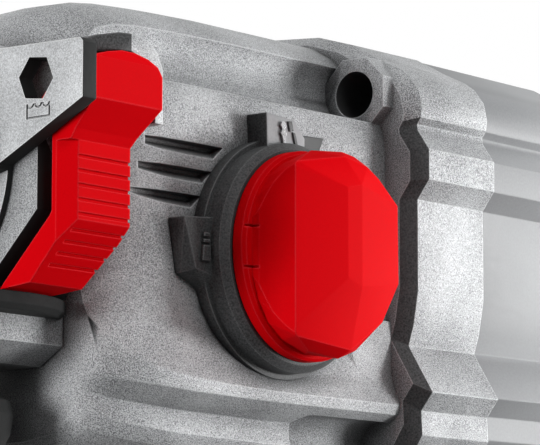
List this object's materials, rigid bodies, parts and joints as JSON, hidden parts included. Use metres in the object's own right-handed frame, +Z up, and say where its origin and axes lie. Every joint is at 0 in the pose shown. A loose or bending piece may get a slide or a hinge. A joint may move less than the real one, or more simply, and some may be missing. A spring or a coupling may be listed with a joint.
{
  "type": "rotary hammer",
  "caption": "In-line rotary hammer with ribbed cast gear housing, faceted red mode knob, clamp-on side handle and D handle, with its gear train and striking mechanism inside.",
  "frame": {"origin": "middle of the tool holder's mouth, on the spindle line", "axes": "+X along the spindle to the rear, +Z up, the mode knob on the -Y side"},
  "size_m": [0.417, 0.1068, 0.2152],
  "materials": {
    "casing": "satin",
    "motor_shell": "satin",
    "dark_plastic": "satin",
    "red_plastic": "satin",
    "rubber": "matte",
    "switch_plastic": "matte",
    "steel": "brushed",
    "core_steel": "matte",
    "copper": "satin",
    "brass": "satin",
    "carbon": "matte"
  },
  "bodies": {
    "housing": {"gear_housing": "casing", "selector_collar": "dark_plastic", "flange_housing": "casing", "motor_housing": "motor_shell", "handle_left": "motor_shell", "handle_right": "motor_shell", "grip_pad": "rubber", "housing_screws": "steel", "handle_screws": "steel", "neck_bush": "brass", "nose_seal": "rubber", "spindle_bearing": "steel", "layshaft_bearings": "steel", "inner_frame": "casing", "bearing_bracket": "casing", "motor_bearings": "steel", "stator_core": "core_steel", "field_coils": "copper", "brush_holders": "brass", "brushes": "carbon", "switch_body": "switch_plastic", "cord_inlet": "rubber"},
    "spindle": {"spindle": "steel", "spindle_gear": "steel", "dust_cap": "rubber", "locking_balls": "steel", "sleeve_spring": "steel"},
    "locking_sleeve": {"locking_sleeve": "dark_plastic"},
    "layshaft": {"layshaft": "steel", "layshaft_gear": "steel", "clutch_sleeve": "steel", "wobble_drum": "steel"},
    "wobble_ring": {"wobble_ring": "steel"},
    "piston": {"piston": "steel"},
    "piston_pin": {"piston_pin": "steel"},
    "striker": {"striker": "steel"},
    "impact_bolt": {"impact_bolt": "steel"},
    "armature": {"motor_shaft": "steel", "armature_core": "core_steel", "commutator": "copper", "cooling_fan": "dark_plastic"},
    "mode_knob": {"mode_knob": "red_plastic", "mode_shaft": "steel"},
    "trigger": {"trigger": "red_plastic"},
    "lock_button": {"lock_button": "dark_plastic"},
    "side_handle": {"side_clamp_front": "casing", "side_clamp_base": "casing", "clamp_band": "steel", "clamp_bolt": "steel", "button_spring": "steel", "hand_guard": "rubber"},
    "gauge_button": {"gauge_button": "red_plastic"},
    "side_grip": {"side_grip": "rubber", "grip_nut": "steel"}
  },
  "joints": [
    {"name": "armature_spin", "type": "hinge", "parent": "housing", "child": "armature", "pos_m": [0.25, 0, -0.0055], "axis": [1, 0, 0], "continuous": true},
    {"name": "layshaft_spin", "type": "hinge", "parent": "housing", "child": "layshaft", "pos_m": [0.15, 0, -0.033], "axis": [1, 0, 0], "continuous": true},
    {"name": "spindle_spin", "type": "hinge", "parent": "housing", "child": "spindle", "pos_m": [0.1, 0, 0], "axis": [1, 0, 0], "continuous": true},
    {"name": "sleeve_slide", "type": "slide", "parent": "spindle", "child": "locking_sleeve", "axis": [1, 0, 0], "range_m": [0, 0.008], "stiffness_N_per_m": 800, "springref_m": -0.002, "deforming": ["sleeve_spring"]},
    {"name": "wobble_swing", "type": "hinge", "parent": "housing", "child": "wobble_ring", "pos_m": [0.154, 0, -0.033], "axis": [0, 1, 0], "range_deg": [-15.5, 15.5]},
    {"name": "piston_slide", "type": "slide", "parent": "housing", "child": "piston", "axis": [1, 0, 0], "range_m": [-0.0088, 0.0088]},
    {"name": "piston_pin_swing", "type": "hinge", "parent": "piston", "child": "piston_pin", "pos_m": [0.154, 0, 0], "axis": [0, 1, 0], "range_deg": [-15.5, 15.5]},
    {"name": "striker_slide", "type": "slide", "parent": "housing", "child": "striker", "axis": [1, 0, 0], "range_m": [-0.008, 0.008]},
    {"name": "impact_bolt_slide", "type": "slide", "parent": "housing", "child": "impact_bolt", "axis": [1, 0, 0], "range_m": [-0.0015, 0.0015]},
    {"name": "mode_select", "type": "hinge", "parent": "housing", "child": "mode_knob", "pos_m": [0.142, -0.045, -0.014], "axis": [0, 1, 0], "range_deg": [0, 115]},
    {"name": "trigger_pull", "type": "slide", "parent": "housing", "child": "trigger", "axis": [0.9848, 0, 0.1736], "range_m": [0, 0.006], "stiffness_N_per_m": 600, "springref_m": -0.002},
    {"name": "lock_press", "type": "slide", "parent": "housing", "child": "lock_button", "axis": [0, 1, 0], "range_m": [0, 0.0025], "stiffness_N_per_m": 400, "springref_m": -0.001},
    {"name": "side_handle_turn", "type": "hinge", "parent": "housing", "child": "side_handle", "pos_m": [0.0774, 0, 0], "axis": [1, 0, 0], "continuous": true},
    {"name": "gauge_release", "type": "slide", "parent": "side_handle", "child": "gauge_button", "axis": [0, 1, 0], "range_m": [0, 0.003], "stiffness_N_per_m": 500, "springref_m": -0.001, "deforming": ["button_spring"]},
    {"name": "side_grip_turn", "type": "hinge", "parent": "side_handle", "child": "side_grip", "pos_m": [0.0728, 0, -0.1], "axis": [0, 0, 1], "continuous": true}
  ],
  "couplings": [
    {"joint": "layshaft_spin", "follows": "armature_spin", "ratio": -0.18919},
    {"joint": "spindle_spin", "follows": "armature_spin", "ratio": 0.070946},
    {"joint": "wobble_swing", "follows": "piston_slide", "rad_per_m": 29.94},
    {"joint": "piston_pin_swing", "follows": "piston_slide", "rad_per_m": 29.94}
  ]
}
